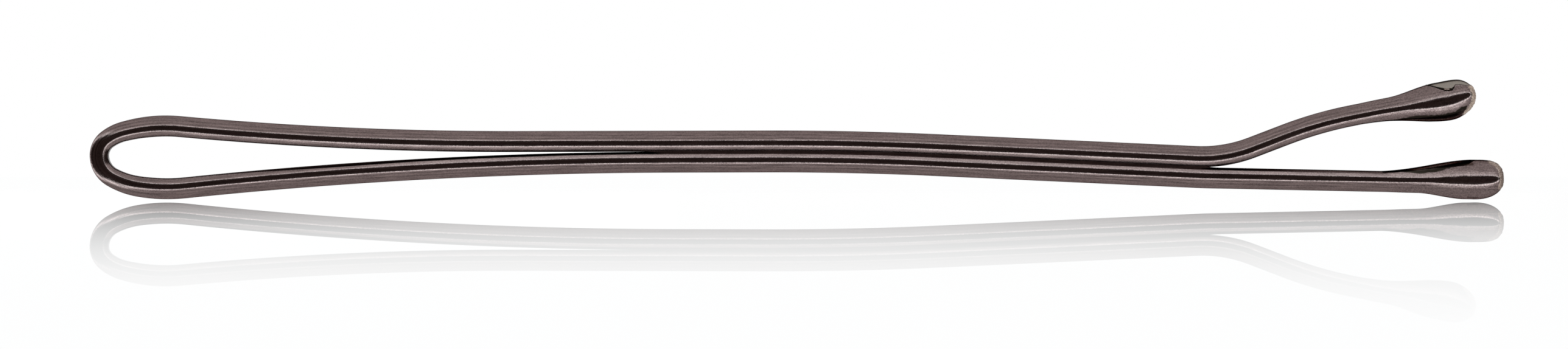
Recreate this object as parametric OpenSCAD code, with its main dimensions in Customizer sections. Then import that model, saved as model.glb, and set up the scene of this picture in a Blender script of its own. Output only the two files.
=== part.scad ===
// Bobby pin with one kicked-up leg and dipped tips, in millimetres.
// X runs along the pin, from the closed bow at -X to the tips at +X.
// Z is the way the legs open, and Y is across the flat rolled wire.
// The origin is midway along the length and the width, on the surface that the pin stands on.
// The wire is one spring, drawn as two legs and the bow that flexes between them.

/* [Overall] */
// Length from the outside of the bow to the end of the lower tip
overall_length = 60; // [50:0.5:72]
// How far the upper tip ends short of the lower tip
tip_setback = 1.18; // [0:0.02:3]

/* [Wire] */
// Width of the flat rolled wire, across the pin
wire_width = 1.6; // [1.2:0.05:2]
// Thickness of the wire along the legs
wire_thickness = 0.88; // [0.7:0.01:1.1]
// Thickness of the wire at the crown of the bow, where bending has drawn it thinner
crown_thickness = 0.77; // [0.6:0.01:1]
// Length of wire from the crown over which the full thickness returns
thinning_length = 3.2; // [2:0.1:6]

/* [Section of the wire] */
// Share of the thickness that lies outside the widest line
outer_share = 0.6; // [0.55:0.01:0.65]
// Radius of the rounded edge at the front and back
edge_r = 0.28; // [0.2:0.01:0.32]
// How far that edge turns to each side of the widest line, before a bevel starts
edge_turn = 32; // [25:1:38]
// Slope at which the outer bevel ends
outer_bevel_turn = 55; // [45:1:65]
// Slope at which the inner bevel ends
inner_bevel_turn = 42; // [39:1:55]
// Radius of the corner between the outer bevel and its flat face
outer_corner_r = 0.2; // [0.1:0.01:0.3]
// Radius of the corner between the inner bevel and its flat face
inner_corner_r = 0.12; // [0.08:0.01:0.2]

/* [Bow, upper half] */
// Centreline radius at the crown
upper_crown_r = 0.85; // [0.7:0.05:1.4]
// Turn of the crown
upper_crown_turn = 53; // [45:1:65]
// Centreline radius at the shoulder
upper_shoulder_r = 2; // [1:0.05:3]
// Turn of the shoulder
upper_shoulder_turn = 22; // [10:1:24]
// Centreline radius of the knee, where the bow is widest
upper_knee_r = 7; // [4:0.1:10]
// Slope at which the upper leg leaves the knee towards the lower leg
upper_taper = 5.2; // [4.6:0.1:7]

/* [Bow, lower half] */
// Centreline radius at the crown
lower_crown_r = 1.08; // [0.8:0.02:1.3]
// Turn of the crown
lower_crown_turn = 61; // [58:1:65]
// Centreline radius at the shoulder
lower_shoulder_r = 3.4; // [2:0.05:4.5]
// Turn of the shoulder
lower_shoulder_turn = 20; // [12:1:24]
// Centreline radius of the knee
lower_knee_r = 7.8; // [5:0.1:10]
// Slope at which the lower leg leaves the knee towards the upper leg
lower_taper = 5.9; // [5.4:0.1:8]

/* [Grip, where the legs press together] */
// Distance from the outside of the bow to the start of the grip
grip_start = 18.2; // [15:0.1:22]
// Height of the grip line over the crown of the bow at its start
grip_offset = 0.14; // [-0.2:0.01:0.3]
// Slope of the grip line at its start, rising towards the tips
grip_slope = 0.13; // [-0.5:0.01:1]
// Straight length of the grip before its bend
grip_before_bend = 10.6; // [9.5:0.1:14]
// Downward bend of both legs in the grip
grip_bend = 2.75; // [0.5:0.05:4]
// Radius of that bend
grip_bend_r = 149; // [60:1:200]
// Gap between the two legs along the grip
leg_gap = 0.02; // [0.01:0.01:0.1]

/* [Leg ends] */
// Upward kick of the upper leg
kick_angle = 23.6; // [14:0.1:30]
// Centreline radius of the kick
kick_r = 5.9; // [3:0.1:9]
// Straight length after the kick
kick_straight = 1.5; // [0.2:0.1:2.5]
// How far the upper leg turns back down before its tip
return_angle = 9.8; // [2:0.1:14]
// Centreline radius of that turn
return_r = 17.2; // [8:0.1:21]
// Straight length of the upper leg from that turn to the end of the wire
tip_straight = 4.72; // [1:0.02:6]
// How far the lower leg levels off after the grip
level_angle = 1.44; // [0.2:0.02:3]
// Centreline radius of that turn
level_r = 27; // [15:1:60]

/* [Tips] */
// How far the belly of a tip stands proud of the flat of the wire, on average over its two faces
tip_face_coat = 0.405; // [0.3:0.005:0.6]
// How far the belly of a tip stands proud of each edge of the wire
tip_edge_coat = 0.18; // [0.16:0.01:0.4]
// Length of the tapered neck of a tip, up to the belly
tip_neck = 3.75; // [2.5:0.05:4.5]
// Length of the rounded nose of a tip, beyond the belly
tip_nose = 1.16; // [0.9:0.02:1.6]
// How far the belly's centre lies inside the centreline of the wire
tip_shift = 0.17; // [0:0.01:0.3]
// Depth of the tip's material beyond the cut end of the wire
tip_cover = 0.6; // [0.5:0.01:0.8]
// Thickness of the skin at the start of the neck
skin_thickness = 0.04; // [0.03:0.01:0.08]

/* [Smoothness] */
// Facets along each edge arc of the section, from the widest line to a bevel
edge_facets = 2; // [1:1:4]
// Facets across each bevel
bevel_facets = 2; // [1:1:4]
// Facets round each corner
corner_facets = 2; // [1:1:4]
// Facets from a corner to the middle of a face, which the round tips need
flat_facets = 2; // [1:1:4]
// Largest distance from a facet to the true bend
facet_sag = 0.004; // [0.002:0.001:0.01]
// Rings along the neck of a tip
neck_rings = 12; // [8:1:16]
// Rings along the nose of a tip
nose_rings = 9; // [6:1:12]

/* [Hidden] */
UPPER = 1;
LOWER = -1;
lacquer = [0.25, 0.21, 0.2];
tip_lacquer = [0.3, 0.255, 0.24];
// Length of each tapered leg that belongs to the bow, beyond its knee
bow_lead = 2.4;
// Fullness of the nose: 2 is an ellipse, and more is blunter
nose_power = 2.3;
// Share of the nose's ideal length at which it is cut off, blunt
nose_cut = 0.995;
// Height and width of a tip at its belly
tip_height = wire_thickness + 2 * tip_face_coat;
tip_width = wire_width + 2 * tip_edge_coat;

// A station on the centreline is [x, z, heading in degrees, distance from the crown].
// A run is [length, turn in degrees], and a turn of 0 is straight. Turning left is positive.
function straight(length) = [length, 0];
function bend(radius, turn) = [radius * abs(turn) * PI / 180, turn];
function signed_radius(run) = run[0] / (run[1] * PI / 180);

// The station at a fraction of the way along a run that starts at p
function along(p, run, fraction) =
    run[1] == 0
        ? [p[0] + fraction * run[0] * cos(p[2]), p[1] + fraction * run[0] * sin(p[2]), p[2],
            p[3] + fraction * run[0]]
        : let (r = signed_radius(run), h = p[2] + fraction * run[1])
            [p[0] + r * (sin(h) - sin(p[2])), p[1] - r * (cos(h) - cos(p[2])), h, p[3] + fraction * run[0]];

// The station after the first n runs
function after(p, runs, n) = n == 0 ? p : along(after(p, runs, n - 1), runs[n - 1], 1);
function end_of(p, runs) = after(p, runs, len(runs));

// The station at a distance from the crown; the last run goes on past its end
function at_distance(p, runs, distance, i = 0) =
    i == len(runs) - 1 || distance <= p[3] + runs[i][0]
        ? along(p, runs[i], (distance - p[3]) / runs[i][0])
        : at_distance(along(p, runs[i], 1), runs, distance, i + 1);

// A bend takes as many steps as keep its facets within facet_sag of the true arc
function steps(run) =
    run[1] == 0 ? 1 : ceil(abs(run[1]) / (2 * acos(1 - facet_sag / abs(signed_radius(run)))));
function stations(p, runs) =
    concat([for (i = [0:len(runs) - 1], k = [0:steps(runs[i]) - 1])
            along(after(p, runs, i), runs[i], k / steps(runs[i]))],
        [end_of(p, runs)]);

// The bow, from the crown to where each leg takes over
function pick(side, lower, upper) = side == UPPER ? upper : lower;
function crown_run(side) =
    bend(pick(side, lower_crown_r, upper_crown_r), -side * pick(side, lower_crown_turn, upper_crown_turn));
function shoulder_run(side) =
    bend(pick(side, lower_shoulder_r, upper_shoulder_r),
        -side * pick(side, lower_shoulder_turn, upper_shoulder_turn));
function knee_run(side) =
    bend(pick(side, lower_knee_r, upper_knee_r),
        -side * (90 - abs(crown_run(side)[1]) - abs(shoulder_run(side)[1])
            + pick(side, lower_taper, upper_taper)));
function bow_bends(side) = [crown_run(side), shoulder_run(side), knee_run(side)];

// The grip line starts here, and each leg's centreline runs beside it
leg_offset = (wire_thickness + leg_gap) / 2;
crown_x = (crown_thickness - overall_length) / 2;
function crown(side, z) = [crown_x, z, side * 90, 0];
function grip_origin(z) = [grip_start - overall_length / 2, z + grip_offset];
// Distance of a station outside the grip line's offset, and along the line
function outside_grip(p, side, z) =
    side * ((p[1] - grip_origin(z)[1]) * cos(grip_slope)
        - (p[0] - grip_origin(z)[0]) * sin(grip_slope)) - leg_offset;
function along_grip(p, z) =
    (p[0] - grip_origin(z)[0]) * cos(grip_slope) + (p[1] - grip_origin(z)[1]) * sin(grip_slope);

// From the knee each leg swings in on the one arc that lands on its side of the grip line
function landing_run(side, z) =
    let (p = end_of(crown(side, z), bow_bends(side)), turn = grip_slope - p[2])
        bend(outside_grip(p, side, z) / (1 - cos(turn)), turn);
function bow_runs(side, z) =
    let (run = landing_run(side, z)) concat(bow_bends(side), [[bow_lead, run[1] * bow_lead / run[0]]]);
function leg_start(side, z) = end_of(crown(side, z), bow_runs(side, z));
function grip_head(side, z) =
    let (run = landing_run(side, z), p = end_of(crown(side, z), concat(bow_bends(side), [run])))
        [[run[0] - bow_lead, run[1] * (1 - bow_lead / run[0])],
         straight(grip_before_bend - along_grip(p, z)),
         bend(grip_bend_r + side * leg_offset, -grip_bend)];
function end_bends(side) =
    side == UPPER ? [bend(kick_r, kick_angle), straight(kick_straight), bend(return_r, -return_angle)]
                  : [bend(level_r, level_angle)];

// A wire ends where its tip does, less the material beyond it
function tip_x(side) = overall_length / 2 - (side == UPPER ? tip_setback : 0);
function wire_end_x(side, heading) = tip_x(side) - side * tip_shift * sin(heading) - tip_cover * cos(heading);

// The grip after its bend takes up the length that the rest of the upper leg leaves
function grip_rest(z) =
    let (p = end_of(leg_start(UPPER, z), grip_head(UPPER, z)),
         q = end_of([0, 0, p[2], 0], concat(end_bends(UPPER), [straight(tip_straight)])))
        (wire_end_x(UPPER, q[2]) - q[0] - p[0]) / cos(p[2]);

// The last straight of either leg closes the distance to the end of its wire
function leg_runs(side, z) =
    let (bends = concat(grip_head(side, z), [straight(grip_rest(z))], end_bends(side)),
         p = end_of(leg_start(side, z), bends))
        concat(bends, [straight((wire_end_x(side, p[2]) - p[0]) / cos(p[2]))]);
function wire_end(side, z) = end_of(leg_start(side, z), leg_runs(side, z))[3];
function belly(side, z) = wire_end(side, z) + tip_cover - tip_nose;
function neck_start(side, z) = belly(side, z) - tip_neck;

// The pin stands on its bow or on its lower tip, whichever reaches lower
bow_depth = wire_thickness / 2
    + lower_crown_r * sin(lower_crown_turn)
    + lower_shoulder_r * (sin(lower_crown_turn + lower_shoulder_turn) - sin(lower_crown_turn))
    + lower_knee_r * (1 - sin(lower_crown_turn + lower_shoulder_turn));
low_belly = at_distance(leg_start(LOWER, 0), leg_runs(LOWER, 0), belly(LOWER, 0));
tip_depth = (tip_height / 2 - tip_shift) * cos(low_belly[2]) - low_belly[1];
crown_z = max(bow_depth, tip_depth);

// Smooth step, and a blend of two numbers or lists
function smooth(t) = let (u = max(0, min(1, t))) u * u * (3 - 2 * u);
function mix(a, b, share) = a * (1 - share) + b * share;

// A point of the section is [depth behind the edge, height over the widest line].
// An arc goes on from a point, between two slopes, and ends here
function arc_end(from, radius, a, b) = from + radius * [cos(a) - cos(b), sin(b) - sin(a)];
function arc_points(from, radius, a, b, facets) =
    [for (k = [0:facets - 1]) arc_end(from, radius, a, a + (b - a) * k / facets)];

// One quarter of the section, from the widest line to the middle of a face: edge, bevel, corner and flat.
// The bevel is gently crowned, and its radius closes what the edge and the corner leave of the rise.
function quarter(rise, bevel_turn, corner_r) =
    let (bevel_r = (rise - edge_r * sin(edge_turn) - corner_r * (1 - sin(bevel_turn)))
             / (sin(bevel_turn) - sin(edge_turn)),
         bevel = arc_end([0, 0], edge_r, 0, edge_turn),
         corner = arc_end(bevel, bevel_r, edge_turn, bevel_turn),
         flat = arc_end(corner, corner_r, bevel_turn, 90))
        concat(arc_points([0, 0], edge_r, 0, edge_turn, edge_facets),
            arc_points(bevel, bevel_r, edge_turn, bevel_turn, bevel_facets),
            arc_points(corner, corner_r, bevel_turn, 90, corner_facets),
            [for (k = [0:flat_facets]) mix(flat, [wire_width / 2, rise], k / flat_facets)]);

// Half of the section as [across, out] shares of the half width and of the rise, from +Y over the face to -Y
function half_shape(rise, points) =
    let (n = len(points), across = [for (q = points) 1 - q[0] / (wire_width / 2)])
        concat([for (i = [0:n - 1]) [across[i], points[i][1] / rise]],
            [for (i = [n - 2:-1:1]) [-across[i], points[i][1] / rise]]);
outer_rise = outer_share * wire_thickness;
inner_rise = wire_thickness - outer_rise;
bevelled = concat(half_shape(outer_rise, quarter(outer_rise, outer_bevel_turn, outer_corner_r)),
    -half_shape(inner_rise, quarter(inner_rise, inner_bevel_turn, inner_corner_r)));
// The oval section of a tip, with a point for each point of the wire's
rounded = [for (u = bevelled) u / norm(u)];

// A section's size is [half width, outer rise, inner rise, height of the widest line over the centreline]
function wire_section(distance) =
    let (t = mix(crown_thickness, wire_thickness, smooth(distance / thinning_length)))
        [wire_width / 2, outer_share * t, (1 - outer_share) * t, (0.5 - outer_share) * t];
function tip_section(distance, side) =
    let (start = neck_start(side, crown_z),
         past = max(0, (distance - start - tip_neck) / tip_nose * nose_cut),
         swell = smooth((distance - start) / tip_neck),
         close = pow(1 - pow(past, nose_power), 1 / nose_power),
         wire = wire_section(distance))
        [mix(wire[0] + skin_thickness, tip_width / 2, swell) * close,
         mix(wire[1] + skin_thickness, tip_height / 2, swell) * close,
         mix(wire[2] + skin_thickness, tip_height / 2, swell) * close,
         mix(wire[3], -tip_shift, swell)];

// One ring of points round the wire at a station
function ring(p, side, section, shape) =
    [for (u = shape)
        let (out = side * (section[3] + (u[1] > 0 ? section[1] : section[2]) * u[1]))
            [p[0] - out * sin(p[2]), section[0] * u[0], p[1] + out * cos(p[2])]];
function wire_rings(places, side) = [for (p = places) ring(p, side, wire_section(p[3]), bevelled)];
function reversed(list) = [for (i = [len(list) - 1:-1:0]) list[i]];

// A closed skin over rings, with a flat face over the first and the last
module skin(rings) {
    n = len(rings[0]);
    last = len(rings) - 1;
    sides = [for (k = [0:last - 1], i = [0:n - 1])
        let (a = k * n + i, b = k * n + (i + 1) % n)
            each [[a, a + n, b + n], [a, b + n, b]]];
    caps = [[for (i = [0:n - 1]) i], [for (i = [n - 1:-1:0]) last * n + i]];
    polyhedron(points = [for (r = rings) each r], faces = concat(sides, caps));
}
module side_skin(rings, side) skin(side == UPPER ? rings : reversed(rings));

// The stations of a leg, with one where its tip's neck starts
function leg_stations(side) = stations(leg_start(side, crown_z), leg_runs(side, crown_z));
function neck_station(side) =
    at_distance(leg_start(side, crown_z), leg_runs(side, crown_z), neck_start(side, crown_z));
function bare_stations(side) = [for (p = leg_stations(side)) if (p[3] < neck_start(side, crown_z)) p];
function dipped_stations(side) =
    concat([neck_station(side)], [for (p = leg_stations(side)) if (p[3] > neck_start(side, crown_z)) p]);

module leg(side) {
    side_skin(wire_rings(concat(bare_stations(side), dipped_stations(side)), side), side);
}

// A tip is one skin: up the socket that the wire fills, out over its rim, and on round the nose
module tip(side) {
    start = neck_start(side, crown_z);
    neck = [for (k = [0:neck_rings - 1]) start + tip_neck * k / neck_rings];
    nose = [for (k = [0:nose_rings]) start + tip_neck + tip_nose * sin(90 * k / nose_rings)];
    shell = [for (d = concat(neck, nose))
        let (p = at_distance(leg_start(side, crown_z), leg_runs(side, crown_z), d))
            ring(p, side, tip_section(d, side), mix(bevelled, rounded, smooth((d - start) / tip_neck)))];
    socket = reversed(wire_rings(dipped_stations(side), side));
    side_skin(concat(socket, shell), side);
}

module lower_leg() color(lacquer) leg(LOWER);
module upper_leg() color(lacquer) leg(UPPER);
module lower_tip() color(tip_lacquer) tip(LOWER);
module upper_tip() color(tip_lacquer) tip(UPPER);

// The bow runs from the lower leg round the crown to the upper leg
module bow() {
    function half(side) = wire_rings(stations(crown(side, crown_z), bow_runs(side, crown_z)), side);
    upper = half(UPPER);
    color(lacquer) skin(concat(reversed(half(LOWER)), [for (i = [1:len(upper) - 1]) upper[i]]));
}

lower_leg();
bow();
upper_leg();
lower_tip();
upper_tip();
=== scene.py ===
"""A bobby pin standing on edge on a pale, glossy floor, as seen from its side.

Lengths are in millimetres, and become metres where a mesh, the camera or the floor is made.
X runs along the pin from the bow to the tips, Z is the way the legs open, Y is across the wire.
"""

import math

import bpy
import numpy as np
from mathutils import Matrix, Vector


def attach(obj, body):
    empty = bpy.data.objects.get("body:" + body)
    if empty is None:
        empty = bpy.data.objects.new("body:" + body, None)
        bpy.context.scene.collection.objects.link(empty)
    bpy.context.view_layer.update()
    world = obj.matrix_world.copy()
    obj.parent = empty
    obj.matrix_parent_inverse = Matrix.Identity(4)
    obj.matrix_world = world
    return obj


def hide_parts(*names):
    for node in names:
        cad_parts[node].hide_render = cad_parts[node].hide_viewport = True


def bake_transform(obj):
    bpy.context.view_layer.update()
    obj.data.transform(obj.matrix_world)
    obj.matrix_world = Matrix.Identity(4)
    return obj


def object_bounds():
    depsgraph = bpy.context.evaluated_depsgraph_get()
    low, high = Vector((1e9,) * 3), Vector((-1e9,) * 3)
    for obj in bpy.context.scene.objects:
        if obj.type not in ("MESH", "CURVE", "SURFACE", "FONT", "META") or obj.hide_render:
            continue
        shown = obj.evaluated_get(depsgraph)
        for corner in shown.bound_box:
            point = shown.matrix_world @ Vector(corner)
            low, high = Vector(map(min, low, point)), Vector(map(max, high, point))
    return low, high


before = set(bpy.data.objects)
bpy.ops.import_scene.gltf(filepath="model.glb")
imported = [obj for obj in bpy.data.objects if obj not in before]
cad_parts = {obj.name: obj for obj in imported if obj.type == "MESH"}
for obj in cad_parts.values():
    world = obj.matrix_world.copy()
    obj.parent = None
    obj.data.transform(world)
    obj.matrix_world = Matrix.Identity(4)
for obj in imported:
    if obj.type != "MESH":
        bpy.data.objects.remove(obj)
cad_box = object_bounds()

MM = 0.001
UPPER, LOWER = 1, -1
BODY = {UPPER: "upper_leg", LOWER: "lower_leg"}
TIP_NODE = {UPPER: "upper_tip", LOWER: "lower_tip"}

# The wire
OVERALL_LENGTH = (cad_box[1].x - cad_box[0].x) / MM
TIP_SETBACK = 1.18
WIRE_WIDTH = 1.6
WIRE_THICKNESS = 0.88
CROWN_THICKNESS = 0.77
THINNING_LENGTH = 3.2
OUTER_SHARE = 0.6

# A section's front and back edges are round, then a bevel and a corner lead to each flat face.
# A bevel turns on from the edge's turn to its own, and its radius follows from the height it has to rise.
EDGE_R = 0.28
EDGE_TURN = 32
BEVEL_TURN = {"outer": 55, "inner": 42}
CORNER_R = {"outer": 0.2, "inner": 0.12}
# Towards its tip each leg's edge is rolled sharper, over so long a part of it
SHARP_EDGE_R = 0.25
SHARPENING_LENGTH = 5.0
# Away from the bow a leg's inner bevel is flatter, and a crease parts it from a crowned face
LEG_FACE_START = 5.0
LEG_FACE_LENGTH = 10.0
LEG_EDGE_TURN = {UPPER: 29.0, LOWER: 28.5}
LEG_BEVEL_TURN = {UPPER: 42.0, LOWER: 31.5}
LEG_CREASE = 62.0
LEG_CROWN_R = {UPPER: 0.25, LOWER: 0.9}
# The legs' distance in the grip, and the lacquer on each that closes it
LEG_GAP = 0.02
LACQUER_FILL = 0.011

# The bow, each half from the crown: radius and turn of the crown and the shoulder, radius of the knee, taper
BOW = {
    UPPER: {"crown": (0.85, 53), "shoulder": (2.0, 22), "knee_r": 7.0, "taper": 5.2},
    LOWER: {"crown": (1.08, 61), "shoulder": (3.4, 20), "knee_r": 7.8, "taper": 5.9},
}

# The grip and the ends of the legs
GRIP_START = 18.2
GRIP_OFFSET = 0.14
GRIP_SLOPE = 0.13
GRIP_BEFORE_BEND = 10.6
GRIP_BEND = 2.75
GRIP_BEND_R = 149
TIP_STRAIGHT = 4.72
END_BENDS = {
    UPPER: [("bend", 5.9, 23.6), ("straight", 1.5), ("bend", 17.2, -9.8)],
    LOWER: [("bend", 27, 1.44)],
}

# The dipped tips, with their coat's depth on the wire's flat faces and on its edges
TIP_FACE_COAT = 0.405
TIP_EDGE_COAT = 0.18
TIP_HEIGHT = WIRE_THICKNESS + 2 * TIP_FACE_COAT
TIP_WIDTH = WIRE_WIDTH + 2 * TIP_EDGE_COAT
TIP_NECK = 3.75
TIP_NOSE = 1.16
TIP_SHIFT = 0.17
TIP_COVER = 0.6
NOSE_POWER = {UPPER: 2.1, LOWER: 2.5}
NOSE_WIDTH_POWER = 6.0

# The tips' skin, in distances back from the belly: the coating feathers out along the wire, and then the
# bead swells to its outer side, its inner side and its width, each over its own length
FEATHER_START = 4.6
FEATHER_LENGTH = 1.7
TIP_FEATHER = 0.012
WIRE_END_BACK = 2.75
OUTER_SWELL = (2.5, 2.0)
INNER_SWELL = (4.4, 4.4)
INNER_SWELL_POWER = {UPPER: 1.85, LOWER: 1.2}
WIDTH_SWELL = (3.25, 3.25)
ROUNDING = (2.2, 1.9)

# The belly's section, whose widest line lies inside the centreline and strays towards the end of the nose
BELLY_LINE = {UPPER: 0.185, LOWER: 0.14}
NOSE_STRAY = {UPPER: 0.09, LOWER: -0.07}
BELLY_EDGE_R = 0.48
BELLY_EDGE_TURN = 28
BELLY_BEVEL_TURN = {"outer": 55, "inner": 38}
BELLY_CORNER_R = {"outer": 0.5, "inner": 0.75}
NOSE_EDGE_SHARE = 0.9

# The unpolished crescent round each tip's end: where it starts as a share of the outline's distance, how far
# along the nose it starts on the inner side, in the middle and on the outer side, and how rough it is
CAP_START = 0.85
CAP_UNEVEN = 0.012
CAP_SOFTNESS = 0.04
CAP_REACH = ((-1, 0.42), (0, 0.6), (1, 0.9))
CAP_REACH_SOFTNESS = 0.1
CAP_PITS = 0.02
CAP_PIT_CELLS = ((0.6, (90, 40)), (0.4, (170, 80)))
# The dark rim of painted shade before it, which ends a little way over and under the middle
CAP_RIM_WIDTH = 0.02
CAP_RIM_REACH = 0.45
CAP_RIM_FADE = 0.15
CAP_RIM_SHADE = 0.8

# The skin's slight waves, with their number along and round a tip
WAVE = 0.004
WAVE_CELLS = (16, 14)

# The painted shade on the inner side of each tip, where the other leg shades it: where its edge and its end
# lie, as shares of the rise there, at distances from the belly
SHADE_EDGE = {
    UPPER: (
        (-4.4, 0.75), (-3.0, 0.74), (-2.0, 0.6), (-1.5, 0.53),
        (-0.3, 0.62), (0.2, 0.6), (0.46, 0.52), (0.8, 0.62),
    ),
    LOWER: ((-4.4, 0.8), (-3.3, 0.7), (-2.5, 0.46), (-1.6, 0.5), (-1.2, 0.62), (-0.4, 0.75), (0.1, 1.05)),
}
SHADE_END = {UPPER: ((0.2, 1.2), (0.46, 0.9), (0.63, 0.8), (0.8, 0.5)), LOWER: ((0.0, 1.2), (0.1, 1.2))}
SHADE_SOFTNESS = 0.05
SHADE_RAGGED = 0.02
SHADE_START_FADE = 0.6
# It thins out to a share of its strength, over a width that starts so far past its edge
SHADE_THINNING = (0.12, 0.16, 0.4)

# The chip in the upper tip's skin, seen from the front: its lower edge as distances from the belly and
# heights over the centreline, and the width of the lip of broken skin under it, which is painted dark as
# shade. The chipped patch is sunk and the lip stands up
CHIP_EDGE = (
    (-0.84, 0.66), (-0.63, 0.6), (-0.38, 0.478), (-0.04, 0.345), (0.21, 0.314),
    (0.31, 0.36), (0.38, 0.44), (0.62, 0.4), (0.85, 0.32), (1.05, 0.25),
)
LIP_WIDTH = (
    (-0.84, 0.02), (-0.4, 0.04), (-0.1, 0.09), (0.25, 0.09), (0.36, 0.03), (0.45, 0.012), (1.05, 0.008)
)
CHIP_DEPTH = 0.03
LIP_HEIGHT = 0.04
LIP_SOFTNESS = 0.02
CHIP_END_SLOPE = 2
CHIP_END_FADE = 0.03
# It fades out on the way to the middle of the wire's width
CHIP_SIDE = 0.05
CHIP_SIDE_FADE = 0.2
# A painted glint, a light spot in the lip
GLINT = (-0.13, 0.13)
GLINT_BELOW_EDGE = 0.05
GLINT_WIDTH = 0.035
GLINT_SHARE = 0.8

# The seam in the lower tip's skin, which stands up a little and is painted dark as the shade in its fold:
# its ends and its height over the centreline
SEAM = (-0.4, 0.14)
SEAM_HEIGHT = 0.578
SEAM_WIDTH = 0.022
SEAM_SHARE = 0.3
MARK_END_FADE = 0.05

# How bare each tip's crescent is
CAP_WORN = {UPPER: 1.0, LOWER: 0.6}

# The lacquer's texture: cells a millimetre along, across and out, and the lines that the rolls left, each as
# a height over the centreline with its change of shade
DRAWN_LINES = (0.9, 18.0, 18.0)
SPECKS = (17.0, 17.0, 17.0)
NOISE_RANGE = (0.3, 0.7)
NOISE_ROUGHNESS = 0.6
WIRE_GRAIN = (0.2, 0.18)
TIP_GRAIN = (0.1, 0.3)
RELIEF = 0.003
DIE_LINES = ((0.118, -0.3), (0.176, 0.15), (0.246, -0.25))
DIE_LINE_WIDTH = 0.035
# Its colours, the tint of its gloss, and its roughness where it is whole and where it is worn off. The dark
# colour is painted shade, and the worn colour, mottle and roughness also make the painted glint
LACQUER = (0.143, 0.107, 0.1036)
GLEAM = (0.3, 0.3, 0.3, 1)
SHADE_COLOUR = (0.016, 0.013, 0.01, 1)
CHIPPED = (0.29, 0.275, 0.235, 1)
CHIPPED_SHARE = 0.55
WORN_AND_GLINT_COLOUR = (0.43, 0.32, 0.26)
WORN_MOTTLE = (0.55, 1.25)
WORN_SPECK_RANGE = (0.35, 0.65)
LACQUER_ROUGHNESS = (0.12, 0.2)
WORN_ROUGHNESS = 0.45

# The lacquer that bridges the legs in the grip: where it runs, how far its faces lie from the middle of the
# wire, and how far it reaches into each leg
BRIDGE_RUN = (-6.5, 18.0)
BRIDGE_HALF = 0.61
BRIDGE_REACH = (0.08, 0.07)
BRIDGE_TAPER = 1.2
BRIDGE_SIDES = np.array([1, 1, -1, -1])

# How finely the skins are divided
WIRE_POINTS = (16, 18, 10, 4)
BEAD_POINTS = (20, 24, 22, 4)
STEP = 0.2
BEND_STEP_DEGREES = 2.0
NECK_STEP = 0.03
BELLY_STEP = 0.012
FINE_FROM = 1.2
NOSE_RINGS = 90

random = np.random.default_rng(19)


# The centreline: a station is x, z, heading in radians and distance from the crown; a run is length and turn
def straight(length):
    return length, 0.0


def bend(radius, degrees):
    return radius * abs(math.radians(degrees)), math.radians(degrees)


def as_run(kind, *sizes):
    return bend(*sizes) if kind == "bend" else straight(*sizes)


def along(p, run, share):
    x, z, heading, distance = p
    length, turn = run
    if turn == 0:
        far = share * length
        return x + far * math.cos(heading), z + far * math.sin(heading), heading, distance + far
    radius, later = length / turn, heading + share * turn
    return (
        x + radius * (math.sin(later) - math.sin(heading)),
        z - radius * (math.cos(later) - math.cos(heading)),
        later,
        distance + share * length,
    )


def end_of(p, runs):
    for run in runs:
        p = along(p, run, 1)
    return p


def crown(side, height):
    return (CROWN_THICKNESS - OVERALL_LENGTH) / 2, height, side * math.pi / 2, 0.0


def bow_bends(side):
    half = BOW[side]
    turned = half["crown"][1] + half["shoulder"][1]
    bends = [half["crown"], half["shoulder"], (half["knee_r"], 90 - turned + half["taper"])]
    return [bend(radius, -side * turn) for radius, turn in bends]


def leg_offset():
    return (WIRE_THICKNESS + LEG_GAP) / 2


def in_grip_frame(p, height):
    """Distance along the grip line, and height over it."""
    dx, dz = p[0] - (GRIP_START - OVERALL_LENGTH / 2), p[1] - (height + GRIP_OFFSET)
    slope = math.radians(GRIP_SLOPE)
    return dx * math.cos(slope) + dz * math.sin(slope), dz * math.cos(slope) - dx * math.sin(slope)


def landing(side, height):
    """The one arc from the knee that lands on the leg's side of the grip line."""
    p = end_of(crown(side, height), bow_bends(side))
    turn = math.radians(GRIP_SLOPE) - p[2]
    outside = side * in_grip_frame(p, height)[1] - leg_offset()
    return abs(outside / (1 - math.cos(turn)) * turn), turn


def grip_head(side, height):
    bow = [*bow_bends(side), landing(side, height)]
    landed = in_grip_frame(end_of(crown(side, height), bow), height)[0]
    return [*bow, straight(GRIP_BEFORE_BEND - landed), bend(GRIP_BEND_R + side * leg_offset(), -GRIP_BEND)]


def wire_end_x(side, heading):
    tip_x = OVERALL_LENGTH / 2 - (TIP_SETBACK if side == UPPER else 0)
    return tip_x - side * TIP_SHIFT * math.sin(heading) - TIP_COVER * math.cos(heading)


def grip_rest(height):
    """The length of grip after its bend that the rest of the upper leg leaves."""
    p = end_of(crown(UPPER, height), grip_head(UPPER, height))
    q = end_of((0, 0, p[2], 0), [*(as_run(*b) for b in END_BENDS[UPPER]), straight(TIP_STRAIGHT)])
    return (wire_end_x(UPPER, q[2]) - q[0] - p[0]) / math.cos(p[2])


def wire_runs(side, height):
    runs = [*grip_head(side, height), straight(grip_rest(height)), *(as_run(*b) for b in END_BENDS[side])]
    p = end_of(crown(side, height), runs)
    return [*runs, straight((wire_end_x(side, p[2]) - p[0]) / math.cos(p[2]))]


def resting_height():
    """Height of the crown's centre when the pin stands on its bow or its lower tip."""
    level = end_of(crown(LOWER, 0), bow_bends(LOWER)[:2])
    knee = BOW[LOWER]["knee_r"]
    bow_depth = WIRE_THICKNESS / 2 - (level[1] - knee * (1 - math.cos(level[2])))
    end = end_of(crown(LOWER, 0), wire_runs(LOWER, 0))
    belly_z = end[1] - (TIP_NOSE - TIP_COVER) * math.sin(end[2])
    return max(bow_depth, (TIP_HEIGHT / 2 - TIP_SHIFT) * math.cos(end[2]) - belly_z)


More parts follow.
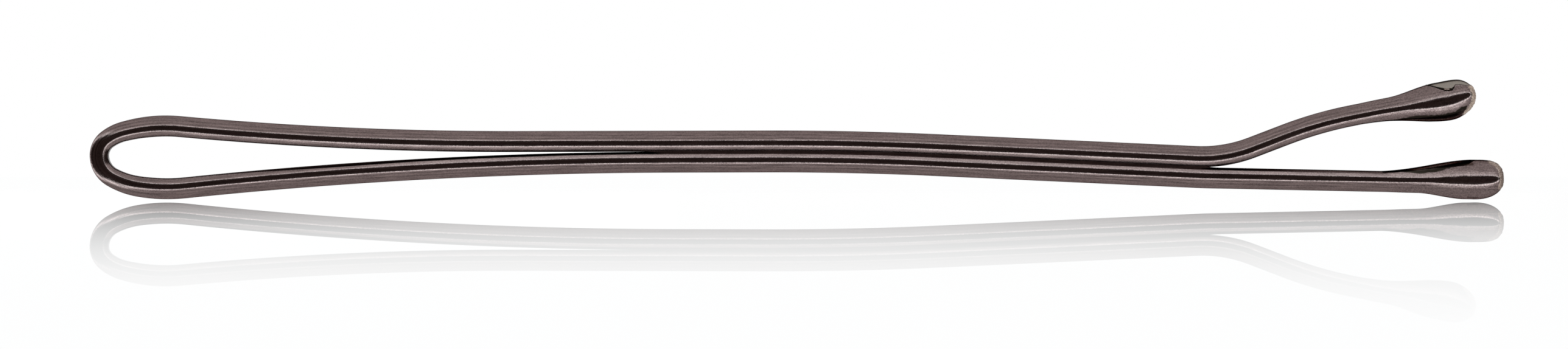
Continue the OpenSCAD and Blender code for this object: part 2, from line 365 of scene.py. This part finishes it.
CROWN_Z = resting_height()
PATH = {side: wire_runs(side, CROWN_Z) for side in (UPPER, LOWER)}
WIRE_END = {side: end_of(crown(side, CROWN_Z), PATH[side])[3] for side in (UPPER, LOWER)}
BELLY = {side: WIRE_END[side] + TIP_COVER - TIP_NOSE for side in (UPPER, LOWER)}
NECK_START = {side: BELLY[side] - TIP_NECK for side in (UPPER, LOWER)}


def at_distance(side, distance):
    """The station at a distance from the crown; the last run goes on past its end."""
    p = crown(side, CROWN_Z)
    for i, run in enumerate(PATH[side]):
        if distance <= p[3] + run[0] or i == len(PATH[side]) - 1:
            return along(p, run, (distance - p[3]) / run[0])
        p = along(p, run, 1)


def distances(side, end):
    """Distances from the crown, closer together where the wire bends tightly."""
    found, start = [0.0], 0.0
    for length, turn in PATH[side]:
        count = max(math.ceil(length / STEP), math.ceil(abs(math.degrees(turn)) / BEND_STEP_DEGREES))
        found += [start + length * (k + 1) / count for k in range(count)]
        start += length
    return [d for d in found if d < end] + [end]


def smooth(t):
    t = np.clip(t, 0, 1)
    return t * t * (3 - 2 * t)


def mix(a, b, share):
    return a * (1 - share) + b * share


def arc(start, radius, a, b, count):
    """Points on an arc that goes on from a point, between two slopes in degrees, and where it ends."""

    def at(degrees):
        first, later = math.radians(a), math.radians(degrees)
        depth = start[0] + radius * (math.cos(first) - math.cos(later))
        return depth, start[1] + radius * (math.sin(later) - math.sin(first))

    return [at(a + (b - a) * k / count) for k in range(count)], at(b)


def quarter(rise, half, edge, edge_turn, turn, crease, corner, counts):
    """A section from the edge to the middle of a face, as depths behind the edge and heights over it.

    The bevel's slope goes from edge_turn to turn, and the corner behind it starts at crease.
    """
    sines = [math.sin(math.radians(t)) for t in (edge_turn, turn, crease)]
    bevel = (rise - edge * sines[0] - corner * (1 - sines[2])) / (sines[1] - sines[0])
    first, end = arc((0.0, 0.0), edge, 0, edge_turn, counts[0])
    second, end = arc(end, bevel, edge_turn, turn, counts[1])
    third, end = arc(end, corner, crease, 90, counts[2])
    flat = [(end[0] + (half - end[0]) * k / counts[3], rise) for k in range(counts[3])]
    return np.array(first + second + third + flat)


def section(size, counts):
    """The whole section, round from +Y over the outer face, as distances across the wire and outwards."""
    ring = []
    for face, sign in (("outer", 1), ("inner", -1)):
        rise = size[face]
        turns = size["edge_turn"][face], size["turn"][face], size["crease"][face]
        points = quarter(rise, size["half"], size["edge"], *turns, size["corner"][face], counts)
        across, out = size["half"] - points[:, 0], points[:, 1]
        first = np.stack([across, out], 1)
        last = np.stack([-across, out], 1)[:0:-1]
        ring.append(np.concatenate([first, [(0, rise)], last]) * (sign, sign))
    ring = np.concatenate(ring)
    return ring[:, 0], ring[:, 1] + size["line"]


def wire_size(distance, side):
    """The sizes of the wire's section: line is its widest line's height over the centreline."""
    thick = mix(CROWN_THICKNESS, WIRE_THICKNESS, smooth(distance / THINNING_LENGTH))
    sharper = smooth((distance - NECK_START[side] + SHARPENING_LENGTH) / SHARPENING_LENGTH)
    flatter = smooth((distance - LEG_FACE_START) / LEG_FACE_LENGTH)
    turn = mix(BEVEL_TURN["inner"], LEG_BEVEL_TURN[side], flatter)
    return {
        "half": WIRE_WIDTH / 2,
        "outer": OUTER_SHARE * thick,
        "inner": (1 - OUTER_SHARE) * thick + LACQUER_FILL,
        "line": (0.5 - OUTER_SHARE) * thick,
        "edge": mix(EDGE_R, SHARP_EDGE_R, sharper),
        "edge_turn": {"outer": EDGE_TURN, "inner": mix(EDGE_TURN, LEG_EDGE_TURN[side], flatter)},
        "turn": {**BEVEL_TURN, "inner": turn},
        "crease": {**BEVEL_TURN, "inner": mix(turn, LEG_CREASE, flatter)},
        "corner": {**CORNER_R, "inner": mix(CORNER_R["inner"], LEG_CROWN_R[side], flatter)},
    }


def place(side, distance, across, out):
    """Points of a ring at a station, in the row frame."""
    x, z, heading, _ = at_distance(side, distance)
    out = side * out
    return np.stack([x - out * math.sin(heading), across, z + out * math.cos(heading)], 1)


def skin_normals(grid, stations, side):
    """Outward normals of the surface through a grid of points, from its slopes along and round the wire."""
    lengthwise = np.gradient(grid, stations, axis=0)
    around = np.roll(grid, -1, 1) - np.roll(grid, 1, 1)
    normal = side * np.cross(around, lengthwise)
    return normal / np.maximum(np.linalg.norm(normal, axis=2, keepdims=True), 1e-12)


def loft(name, grid, local, flip, cap_start, cap_end, normals):
    """A mesh over a grid of points, ring by ring. local holds each point in the straightened wire."""
    count, n = grid.shape[:2]
    first = (np.arange(count - 1)[:, None] * n + np.arange(n)).ravel()
    second = (np.arange(count - 1)[:, None] * n + (np.arange(n) + 1) % n).ravel()
    faces = np.stack([first, first + n, second + n, second], 1)
    if flip:
        faces = faces[:, ::-1]
    faces = faces.tolist()
    start, end = tuple(range(n)), tuple((count - 1) * n + i for i in reversed(range(n)))
    faces += [f[::-1] if flip else f for f in [start] * cap_start + [end] * cap_end]
    mesh = bpy.data.meshes.new(name)
    mesh.from_pydata((grid.reshape(-1, 3) * MM).tolist(), [], faces)
    mesh.shade_smooth()
    lay = mesh.attributes.new("straightened", "FLOAT_VECTOR", "POINT")
    lay.data.foreach_set("vector", local.astype(np.float32).ravel())
    mesh.validate()
    mesh.normals_split_custom_set_from_vertices(normals.reshape(-1, 3).tolist())
    made = bpy.data.objects.new(name, mesh)
    bpy.context.scene.collection.objects.link(made)
    return made


def curves(side, stations, sections):
    """The grid of points over a run of sections, and the same grid with the wire straightened."""
    grid = np.stack([place(side, d, *points) for d, points in zip(stations, sections)])
    local = [np.stack([np.full(len(y), side * d), y, z], 1) for d, (y, z) in zip(stations, sections)]
    return grid, np.stack(local)


def wire(name, side):
    """One half of the spring, from the crown to just inside its tip."""
    stations = np.array(distances(side, BELLY[side] - WIRE_END_BACK))
    sections = [section(wire_size(d, side), WIRE_POINTS) for d in stations]
    grid, local = curves(side, stations, sections)
    past_crown = place(-side, stations[1], *sections[0])
    whole = np.concatenate([past_crown[None], grid])
    normals = skin_normals(whole, np.insert(stations, 0, -stations[1]), side)[1:]
    return loft(name, grid, local, side == UPPER, False, True, normals)


def bridge(name):
    """The lacquer between the legs, with flat faces that look sideways."""
    along_leg = distances(LOWER, BELLY[LOWER])
    inside = [d for d in along_leg if BRIDGE_RUN[0] < at_distance(LOWER, d)[0] < BRIDGE_RUN[1]]
    stations = np.arange(inside[0], inside[-1], STEP / 2)
    sections = []
    for d in stations:
        size = wire_size(d, LOWER)
        taper = smooth((d - stations[0]) / BRIDGE_TAPER) * smooth((stations[-1] - d) / BRIDGE_TAPER)
        face = size["line"] - size["inner"]
        low, high = face + BRIDGE_REACH[0] * taper, face - BRIDGE_REACH[1] * taper
        sections.append((BRIDGE_HALF * BRIDGE_SIDES, np.array([high, low, low, high])))
    grid, local = curves(LOWER, stations, sections)
    normals = np.zeros(grid.shape)
    normals[:, :, 1] = BRIDGE_SIDES
    return loft(name, grid, local, False, True, True, normals)


# The tips
def noise(shape, cells, wrap):
    """Smooth random heights from -1 to 1 over a grid, with so many cells along it and round it."""
    knots = random.uniform(-1, 1, (cells[0] + 2, cells[1] + (0 if wrap else 2)))
    u = np.linspace(0, cells[0], shape[0], endpoint=False)
    v = np.linspace(0, cells[1], shape[1], endpoint=False)
    i, j = u.astype(int), v.astype(int)
    a, b = smooth(u - i)[:, None], smooth(v - j)[None, :]
    next_j = (j + 1) % cells[1] if wrap else j + 1
    near = mix(knots[i][:, j], knots[i][:, next_j], b)
    far = mix(knots[i + 1][:, j], knots[i + 1][:, next_j], b)
    return mix(near, far, a)


def share_at(distance, side, swell):
    """How far along a swell of the tip a distance lies, from 0 to 1."""
    back, length = swell
    return smooth((distance - BELLY[side] + back) / length)


def closing(past, power):
    """What is left of the belly's size at a share of the way along the nose."""
    return max(0.0, 1 - past**power) ** (1 / power)


def bead_size(distance, side):
    """The sizes of a tip's section."""
    size = wire_size(distance, side)
    feather = mix(-TIP_FEATHER, TIP_FEATHER, share_at(distance, side, (FEATHER_START, FEATHER_LENGTH)))
    width = share_at(distance, side, WIDTH_SWELL)
    top = size["line"] + size["outer"] + feather
    top = mix(top, TIP_HEIGHT / 2 - TIP_SHIFT, share_at(distance, side, OUTER_SWELL))
    bottom = size["inner"] - size["line"] + feather
    inward = share_at(distance, side, INNER_SWELL) ** INNER_SWELL_POWER[side]
    bottom = mix(bottom, TIP_HEIGHT / 2 + TIP_SHIFT, inward)
    line = mix(size["line"], -BELLY_LINE[side], width)
    past = max(0.0, (distance - BELLY[side]) / TIP_NOSE)
    close = closing(past, NOSE_POWER[side])
    edge = mix(size["edge"], BELLY_EDGE_R, share_at(distance, side, ROUNDING))
    edge *= mix(1, NOSE_EDGE_SHARE, smooth(past))
    return {
        "half": mix(size["half"] + feather, TIP_WIDTH / 2, width) * closing(past, NOSE_WIDTH_POWER),
        "outer": (top - line) * close,
        "inner": (bottom + line) * close,
        "line": line + NOSE_STRAY[side] * smooth(past),
        "edge": edge * close,
        "edge_turn": {f: mix(size["edge_turn"][f], BELLY_EDGE_TURN, width) for f in CORNER_R},
        "turn": {f: mix(size["turn"][f], BELLY_BEVEL_TURN[f], width) for f in CORNER_R},
        "crease": {f: mix(size["crease"][f], BELLY_BEVEL_TURN[f], width) for f in CORNER_R},
        "corner": {f: mix(size["corner"][f], BELLY_CORNER_R[f], width) * close for f in CORNER_R},
    }


def keep(made, name, values):
    """Stores a number for each point of a mesh, for its material."""
    stored = made.data.attributes.new(name, "FLOAT", "POINT")
    stored.data.foreach_set("value", values.astype(np.float32).ravel())


def cap_share(past, share_out, side):
    """The unpolished crescent round a tip's end, and the dark rim of painted shade before it, as shares from
    0 to 1.
    """
    power = NOSE_POWER[side]
    past = np.maximum(past, 0)
    outline = (past**power + np.abs(share_out) ** power * (1 - past**power)) ** (1 / power)
    start = CAP_START + CAP_UNEVEN * noise(past.shape, (1, 9), True)
    reach = smooth((past - np.interp(share_out, *zip(*CAP_REACH))) / CAP_REACH_SOFTNESS + 0.5)
    rim = smooth(1 - np.abs(outline - start + CAP_RIM_WIDTH) / CAP_RIM_WIDTH)
    rim *= smooth((CAP_RIM_REACH - np.abs(share_out)) / CAP_RIM_FADE) * (past > 0.5)
    return smooth((outline - start) / CAP_SOFTNESS + 0.5) * reach, rim


def painted_inner_shade(back, share_out, side):
    """1 on the painted shade along a tip's inner side, where the other leg shades it."""
    edge = np.interp(back, *zip(*SHADE_EDGE[side]))
    ragged = SHADE_RAGGED * noise(back.shape, (60, 9), True)
    end = np.interp(back, *zip(*SHADE_END[side]))
    rise = -share_out + ragged
    thin_from, thin_over, left = SHADE_THINNING
    strength = mix(1, left, smooth((rise - edge - thin_from) / thin_over))
    strength *= smooth((back + FEATHER_START) / SHADE_START_FADE)
    return strength * smooth((rise - edge) / SHADE_SOFTNESS + 0.5) * smooth((end - rise) / SHADE_SOFTNESS)


def between(back, ends, fade):
    """1 between two distances from the belly, fading to 0 at them."""
    return smooth((back - ends[0]) / fade) * smooth((ends[1] - back) / fade)


def chip(back, across, out):
    """The chipped patch, its lip (painted dark as shade) and the painted glint in the lip, as shares from 0
    to 1.
    """
    ends = CHIP_EDGE[0][0], CHIP_EDGE[-1][0]
    over = out - np.interp(back, *zip(*CHIP_EDGE))
    over -= CHIP_END_SLOPE * (np.maximum(0, ends[0] - back) + np.maximum(0, back - ends[1]))
    front = smooth((-across - CHIP_SIDE) / CHIP_SIDE_FADE)
    patch = smooth(over / LIP_SOFTNESS + 0.5)
    lip = smooth((over + np.interp(back, *zip(*LIP_WIDTH))) / LIP_SOFTNESS + 0.5) * (1 - patch)
    # The painted glint: a light spot a little under the chip's edge
    glint = smooth(1 - np.abs(over + GLINT_BELOW_EDGE) / GLINT_WIDTH) * between(back, GLINT, MARK_END_FADE)
    inside = between(back, ends, CHIP_END_FADE)
    return patch * front * inside, lip * front * inside, glint * front


def seam(back, across, out):
    """The thin, closed seam in the lower tip's skin, painted dark as the shade in its fold."""
    near = smooth(1 - np.abs(out - SEAM_HEIGHT) / SEAM_WIDTH)
    return SEAM_SHARE * near * between(back, SEAM, MARK_END_FADE) * (across < 0)


def bead_marks(side, back, across, out):
    """What each point of a tip's skin carries: cap, painted shade, chipped patch, lip or seam, and painted
    glint.
    """
    size = bead_size(BELLY[side], side)
    ring = section(size, BEAD_POINTS)[1] - size["line"]
    share_out = np.broadcast_to(ring / np.where(ring > 0, size["outer"], size["inner"]), back.shape)
    cap, rim = cap_share(back / TIP_NOSE, share_out, side)
    # The rim before the crescent adds to the painted shade
    painted_shade_share = np.maximum(painted_inner_shade(back, share_out, side), CAP_RIM_SHADE * rim)
    if side == UPPER:
        return cap, painted_shade_share, *chip(back, across, out)
    none = np.zeros(back.shape)
    return cap, painted_shade_share, none, seam(back, across, out), none


def bead_relief(back, cap, patch, lip):
    """Height of a tip's skin over its plain form: its rough end, waves, the chip and the chip's lip."""
    waves = WAVE * noise(back.shape, WAVE_CELLS, True) * smooth((back + WIDTH_SWELL[0]) / WIDTH_SWELL[1])
    pits = sum(share * noise(back.shape, cells, True) for share, cells in CAP_PIT_CELLS)
    return cap * CAP_PITS * (0.5 - pits) - waves - CHIP_DEPTH * patch + LIP_HEIGHT * lip


def bead_stations(side):
    belly = BELLY[side]
    neck = np.arange(belly - FEATHER_START, belly - FINE_FROM, NECK_STEP)
    fine = np.arange(neck[-1] + NECK_STEP, belly - BELLY_STEP / 2, BELLY_STEP)
    nose = belly + TIP_NOSE * np.sin(np.linspace(0, math.pi / 2, NOSE_RINGS))[:-1]
    return np.concatenate([neck, fine, nose])


def bead(name, side):
    """A dipped tip, from its feathered neck round the nose."""
    stations = bead_stations(side)
    sections = [section(bead_size(d, side), BEAD_POINTS) for d in stations]
    grid, local = curves(side, stations, sections)
    across, out = np.stack([a for a, _ in sections]), np.stack([o for _, o in sections])
    back = np.repeat((stations - BELLY[side])[:, None], across.shape[1], 1)
    cap, painted_shade_share, patch, lip, glint = bead_marks(side, back, across, out)
    grid += skin_normals(grid, stations, side) * bead_relief(back, cap, patch, lip)[:, :, None]
    made = loft(name, grid, local, side == UPPER, True, True, skin_normals(grid, stations, side))
    # The chip's lip and the seam are painted dark as shade, except at the painted glint
    lip_shade = np.minimum(1, 3 * lip) * (1 - glint)
    # The worn crescent and the painted glint share one mark, which gives both the tan colour
    keep(made, "worn_and_glint", np.maximum(cap * CAP_WORN[side], GLINT_SHARE * glint))
    # Painted shade: the inner side's band, the rim and the dark lip, kept off the crescent
    keep(made, "painted_shade", np.maximum(painted_shade_share, lip_shade) * (1 - cap))
    keep(made, "chipped", patch)
    return made


# Materials
def add(tree, kind, links=(), **settings):
    """A node, with its settings, and its inputs as (socket, number, colour or other socket)."""
    node = tree.nodes.new(kind)
    for key, value in settings.items():
        setattr(node, key, value)
    for socket, value in links:
        if isinstance(value, bpy.types.NodeSocket):
            tree.links.new(value, node.inputs[socket])
        else:
            node.inputs[socket].default_value = value
    return node


def calc(tree, operation, *values):
    return add(tree, "ShaderNodeMath", enumerate(values), operation=operation).outputs[0]


def ramp(tree, value, low, high, start=0.0, end=1.0):
    """A smooth step from start to end, as value goes from low to high."""
    made = add(
        tree,
        "ShaderNodeMapRange",
        [("Value", value), ("From Min", low), ("From Max", high), ("To Min", start), ("To Max", end)],
        interpolation_type="SMOOTHSTEP",
    )
    return made.outputs["Result"]


def mix_colour(tree, share, a, b):
    """From colour a to colour b; a mix node keeps its colours in sockets 6 and 7, and gives socket 2."""
    return add(tree, "ShaderNodeMix", [(0, share), (6, a), (7, b)], data_type="RGBA").outputs[2]


def new_material(name):
    made = bpy.data.materials.new(name)
    made.use_nodes = True
    made.node_tree.nodes.clear()
    return made, made.node_tree


def stretched_noise(tree, lay, stretch, detail):
    """Noise over the straightened wire, with so many cells a millimetre along, across and out from it."""
    scaled = add(tree, "ShaderNodeVectorMath", [(0, lay), (1, stretch)], operation="MULTIPLY").outputs[0]
    inputs = [("Vector", scaled), ("Scale", 1.0), ("Detail", detail), ("Roughness", NOISE_ROUGHNESS)]
    return add(tree, "ShaderNodeTexNoise", inputs).outputs["Fac"]


def mark(tree, name):
    """A number that the mesh holds for each point."""
    return add(tree, "ShaderNodeAttribute", attribute_name=name).outputs["Fac"]


def times(tree, colour, share):
    """A colour made lighter or darker."""
    return add(tree, "ShaderNodeVectorMath", [(0, colour), ("Scale", share)], operation="SCALE").outputs[0]


def lacquer_shade(tree, lay, lines, specks, grain):
    """How much lighter or darker than its plain colour the lacquer is: its lines, specks and die lines."""
    shade = ramp(tree, lines, *NOISE_RANGE, -grain[0], grain[0])
    shade = calc(tree, "ADD", shade, ramp(tree, specks, *NOISE_RANGE, -grain[1], grain[1]))
    out = add(tree, "ShaderNodeSeparateXYZ", [(0, lay)]).outputs["Z"]
    for height, change in DIE_LINES:
        away = calc(tree, "ABSOLUTE", calc(tree, "SUBTRACT", out, height))
        shade = calc(tree, "ADD", shade, ramp(tree, away, 0.0, DIE_LINE_WIDTH, change, 0.0))
    return calc(tree, "ADD", shade, 1.0)


def lacquer_colours(tree, shade, specks, worn_and_glint):
    """The skin's colour and the tint of its gloss, with painted shade, its chip, its worn spots and a
    painted glint.
    """
    painted_shade = mark(tree, "painted_shade")
    # The painted shade darkens both the colour and the tint of the gloss
    colour = mix_colour(tree, painted_shade, times(tree, LACQUER, shade), SHADE_COLOUR)
    chipped = calc(tree, "MULTIPLY", mark(tree, "chipped"), CHIPPED_SHARE)
    colour = mix_colour(tree, chipped, colour, CHIPPED)
    bare_and_glint = times(tree, WORN_AND_GLINT_COLOUR, ramp(tree, specks, *WORN_SPECK_RANGE, *WORN_MOTTLE))
    return mix_colour(tree, worn_and_glint, colour, bare_and_glint), mix_colour(tree, painted_shade, GLEAM, SHADE_COLOUR)


def lacquer(name, grain):
    """Dark brown baked lacquer over drawn wire: fine lines along it, specks, a satin gloss, painted shade
    and glint.
    """
    made, tree = new_material(name)
    lay = add(tree, "ShaderNodeAttribute", attribute_name="straightened").outputs["Vector"]
    worn_and_glint = mark(tree, "worn_and_glint")
    lines = stretched_noise(tree, lay, DRAWN_LINES, 2.0)
    specks = stretched_noise(tree, lay, SPECKS, 3.0)
    colour, gleam = lacquer_colours(tree, lacquer_shade(tree, lay, lines, specks, grain), specks, worn_and_glint)
    depth = calc(tree, "ADD", calc(tree, "MULTIPLY", lines, 0.5), specks)
    grooves = [("Strength", 1.0), ("Distance", RELIEF * MM), ("Height", depth)]
    bump = add(tree, "ShaderNodeBump", grooves, invert=True)
    whole = ramp(tree, lines, *NOISE_RANGE, *LACQUER_ROUGHNESS)
    inputs = [
        ("Base Color", colour),
        ("Metallic", calc(tree, "SUBTRACT", 1.0, worn_and_glint)),
        ("Specular Tint", gleam),
        ("Roughness", calc(tree, "MAXIMUM", whole, calc(tree, "MULTIPLY", worn_and_glint, WORN_ROUGHNESS))),
        ("Normal", bump.outputs[0]),
    ]
    shader = add(tree, "ShaderNodeBsdfPrincipled", inputs)
    add(tree, "ShaderNodeOutputMaterial", [("Surface", shader.outputs[0])])
    return made


# The camera stands where the photographer stood, and its picture's centre is found from two points in the
# photograph: the pin's centre along it, and the line on which it stands
CAMERA_DISTANCE = 600
PIXELS_PER_MM = 38.68
PHOTO_WIDTH, PHOTO_HEIGHT = 2576, 574
PIN_CENTRE_PIXEL, STANDING_LINE_PIXEL = 1308.5, 327.9
PHOTO_CENTRE_X = (PHOTO_WIDTH / 2 - PIN_CENTRE_PIXEL) / PIXELS_PER_MM
PHOTO_CENTRE_Z = (STANDING_LINE_PIXEL - PHOTO_HEIGHT / 2) / PIXELS_PER_MM
SENSOR_WIDTH = 36

# The lights, as angles in degrees from the camera's side: where a box begins, where its bright edge fades
# into its even body, and where it ends. At the horizon one box goes over into the other
FRONT_EDGE = (45, 49)
BRIGHT_EDGE = (50, 66)
REAR_EDGE = (128, 150)
HORIZON_FADE = 0.1
# How much brighter the edge is than the body, and what the lower box has more or less of
EDGE_BOOST = 3.0
LOWER_EDGE_BOOST = 2.6
LOWER_BODY_LOSS = 0.15
LOWER_DEPTH_GAIN = 8.0
EDGE_LIGHT = (0.85, 0.98, 1.0, 1)
# How the boxes' edges run back towards the left, from these shares of the way there, and how much depth the
# boxes lose at the right
LEFT_STEP_RANGE = (0.44, 0.56)
LEFT_STEP = 28.0
LEFT_SPREAD_FROM = 0.555
LEFT_SPREAD = 90.0
RIGHT_RANGE = (0.72, 0.93)
RIGHT_LOSS = 88.0
# The dark room, and the white wall straight behind the pin that the floor shows
DARK_ROOM = (1.0, 0.77, 0.71, 1)
ROOM_LIGHT = 0.092
BACKDROP = (174, 177)
WHITE = (1, 1, 1, 1)

# The floor lies a little under the pin, and its gloss fades away from it
FLOOR_DEPTH = 0.065
FLOOR_HALF = 6000
FLOOR_GLOSS = 0.92
GLOSS_FADE = 0.723
GLOSS_NARROWING = 40.0
FLOOR_MATTE = (0.95, 0.95, 0.95, 1)
MATTE_SHARE = 0.12


def camera():
    data = bpy.data.cameras.new("camera")
    data.sensor_width = SENSOR_WIDTH
    data.lens = data.sensor_width * CAMERA_DISTANCE / (PHOTO_WIDTH / PIXELS_PER_MM)
    data.clip_start, data.clip_end = 0.01, 100
    made = bpy.data.objects.new("camera", data)
    made.location = (PHOTO_CENTRE_X * MM, -CAMERA_DISTANCE * MM, PHOTO_CENTRE_Z * MM)
    made.rotation_euler = (math.pi / 2, 0, 0)
    bpy.context.scene.collection.objects.link(made)
    bpy.context.scene.camera = made


def directions(tree):
    """A direction's angle from the camera's side, how far it leans to the right, and whether it's below."""
    generated = add(tree, "ShaderNodeTexCoord").outputs["Generated"]
    x, y, z = add(tree, "ShaderNodeSeparateXYZ", [(0, generated)]).outputs
    angle = calc(tree, "DEGREES", calc(tree, "ARCCOSINE", calc(tree, "MULTIPLY", y, -1.0)))
    sideways = calc(tree, "SUBTRACT", 1.0, calc(tree, "MULTIPLY", y, y))
    sideways = calc(tree, "SQRT", calc(tree, "MAXIMUM", sideways, 0.0001))
    return angle, calc(tree, "DIVIDE", x, sideways), ramp(tree, z, -HORIZON_FADE, HORIZON_FADE, 1.0, 0.0)


def pushed_back(tree, rightward, below):
    """How far the boxes' edges run back towards the left, in degrees. The lower box's start at once."""
    leftward = calc(tree, "MULTIPLY", rightward, -1.0)
    start = calc(tree, "MULTIPLY", calc(tree, "SUBTRACT", 1.0, below), LEFT_STEP_RANGE[0])
    turned = ramp(tree, leftward, start, LEFT_STEP_RANGE[1], 0.0, LEFT_STEP)
    past = calc(tree, "MAXIMUM", calc(tree, "SUBTRACT", leftward, LEFT_SPREAD_FROM), 0.0)
    return calc(tree, "ADD", turned, calc(tree, "MULTIPLY", past, LEFT_SPREAD))


def soft_boxes(tree, angle, rightward, below):
    """The two boxes' light in a direction, and the share of it that is their bright front edge."""
    angle = calc(tree, "SUBTRACT", angle, pushed_back(tree, rightward, below))
    front = ramp(tree, angle, *FRONT_EDGE)
    near_edge = calc(tree, "SUBTRACT", front, ramp(tree, angle, *BRIGHT_EDGE))
    boost = calc(tree, "ADD", EDGE_BOOST, calc(tree, "MULTIPLY", below, LOWER_EDGE_BOOST))
    dimmed = calc(tree, "SUBTRACT", 1.0, calc(tree, "MULTIPLY", below, LOWER_BODY_LOSS))
    body = calc(tree, "MULTIPLY", front, dimmed)
    light = calc(tree, "ADD", body, calc(tree, "MULTIPLY", near_edge, boost))
    loss = ramp(tree, rightward, *RIGHT_RANGE, 0.0, RIGHT_LOSS)
    loss = calc(tree, "ADD", loss, calc(tree, "MULTIPLY", below, -LOWER_DEPTH_GAIN))
    behind = ramp(tree, calc(tree, "ADD", angle, loss), *REAR_EDGE)
    return calc(tree, "MULTIPLY", light, calc(tree, "SUBTRACT", 1.0, behind)), near_edge


def studio():
    """A long soft box over the pin and one under it, in a dark room with a white background.

    Seen along X, each box spans the angles from FRONT_EDGE to REAR_EDGE round from the camera's side. It is
    brightest along its front edge, and the lower box's edge is the brighter.
    """
    world = bpy.data.worlds.new("studio")
    bpy.context.scene.world = world
    world.use_nodes = True
    tree = world.node_tree
    tree.nodes.clear()
    angle, rightward, below = directions(tree)
    backdrop = ramp(tree, angle, *BACKDROP)
    box, near_edge = soft_boxes(tree, angle, rightward, below)
    lit = calc(tree, "MAXIMUM", calc(tree, "ADD", box, ROOM_LIGHT), backdrop)
    seen = add(tree, "ShaderNodeLightPath").outputs["Is Camera Ray"]
    unseen = calc(tree, "SUBTRACT", 1.0, seen)
    strength = calc(tree, "MAXIMUM", calc(tree, "MULTIPLY", lit, unseen), seen)
    white = calc(tree, "MAXIMUM", calc(tree, "MAXIMUM", ramp(tree, box, 0.0, 0.3), seen), backdrop)
    colour = mix_colour(tree, white, DARK_ROOM, WHITE)
    colour = mix_colour(tree, calc(tree, "MULTIPLY", near_edge, unseen), colour, EDGE_LIGHT)
    shader = add(tree, "ShaderNodeBackground", [("Color", colour), ("Strength", strength)])
    add(tree, "ShaderNodeOutputWorld", [("Surface", shader.outputs[0])])


def fading_gloss(tree):
    """The floor's gloss, which fades with the distance from the pin and is only there at a grazing look."""
    where = add(tree, "ShaderNodeNewGeometry").outputs["Position"]
    y = add(tree, "ShaderNodeSeparateXYZ", [(0, where)]).outputs["Y"]
    away = calc(tree, "DIVIDE", calc(tree, "ABSOLUTE", y), CAMERA_DISTANCE * MM)
    ratio = calc(tree, "DIVIDE", away, calc(tree, "MAXIMUM", calc(tree, "SUBTRACT", 1.0, away), 0.02))
    faded = calc(tree, "EXPONENT", calc(tree, "MULTIPLY", ratio, -GLOSS_FADE))
    facing = add(tree, "ShaderNodeLayerWeight", [("Blend", 0.5)]).outputs["Facing"]
    grazing = calc(tree, "POWER", facing, GLOSS_NARROWING)
    return calc(tree, "MULTIPLY", calc(tree, "MULTIPLY", faded, FLOOR_GLOSS), grazing)


def floor():
    """A white floor whose gloss fades away from the pin. The lower soft box shines on the pin through it."""
    mesh = bpy.data.meshes.new("floor")
    h, z = FLOOR_HALF * MM, -FLOOR_DEPTH * MM
    mesh.from_pydata([(-h, -h, z), (h, -h, z), (h, h, z), (-h, h, z)], [], [(0, 1, 2, 3)])
    made = bpy.data.objects.new("floor", mesh)
    bpy.context.scene.collection.objects.link(made)
    material, tree = new_material("pale_floor")
    white = add(tree, "ShaderNodeEmission", [("Color", WHITE), ("Strength", 1.0)])
    matte = add(tree, "ShaderNodeBsdfDiffuse", [("Color", FLOOR_MATTE)])
    pale = add(tree, "ShaderNodeMixShader", [(0, MATTE_SHARE), (1, white.outputs[0]), (2, matte.outputs[0])])
    mirror = add(tree, "ShaderNodeBsdfGlossy", [("Color", WHITE), ("Roughness", 0.0)])
    layers = [(0, fading_gloss(tree)), (1, pale.outputs[0]), (2, mirror.outputs[0])]
    shader = add(tree, "ShaderNodeMixShader", layers)
    add(tree, "ShaderNodeOutputMaterial", [("Surface", shader.outputs[0])])
    mesh.materials.append(material)
    made.visible_glossy = made.visible_diffuse = made.visible_shadow = False


camera()
studio()
floor()

wire_lacquer = lacquer("wire_lacquer", WIRE_GRAIN)
tip_lacquer = lacquer("tip_lacquer", TIP_GRAIN)

lower_wire = wire("lower_wire", LOWER)
lower_wire.data.materials.append(wire_lacquer)
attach(lower_wire, "lower_leg")
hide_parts("lower_leg", "bow")

upper_wire = wire("upper_wire", UPPER)
upper_wire.data.materials.append(wire_lacquer)
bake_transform(upper_wire)
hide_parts("upper_leg", "bow")

lacquer_bridge = bridge("lacquer_bridge")
lacquer_bridge.data.materials.append(wire_lacquer)
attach(lacquer_bridge, "lower_leg")
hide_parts("lower_leg")

for side in (UPPER, LOWER):
    tip = bead(TIP_NODE[side].replace("_tip", "_bead"), side)
    tip.data.materials.append(tip_lacquer)
    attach(tip, BODY[side])
    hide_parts(TIP_NODE[side])

bpy.context.scene.view_settings.view_transform = "Standard"
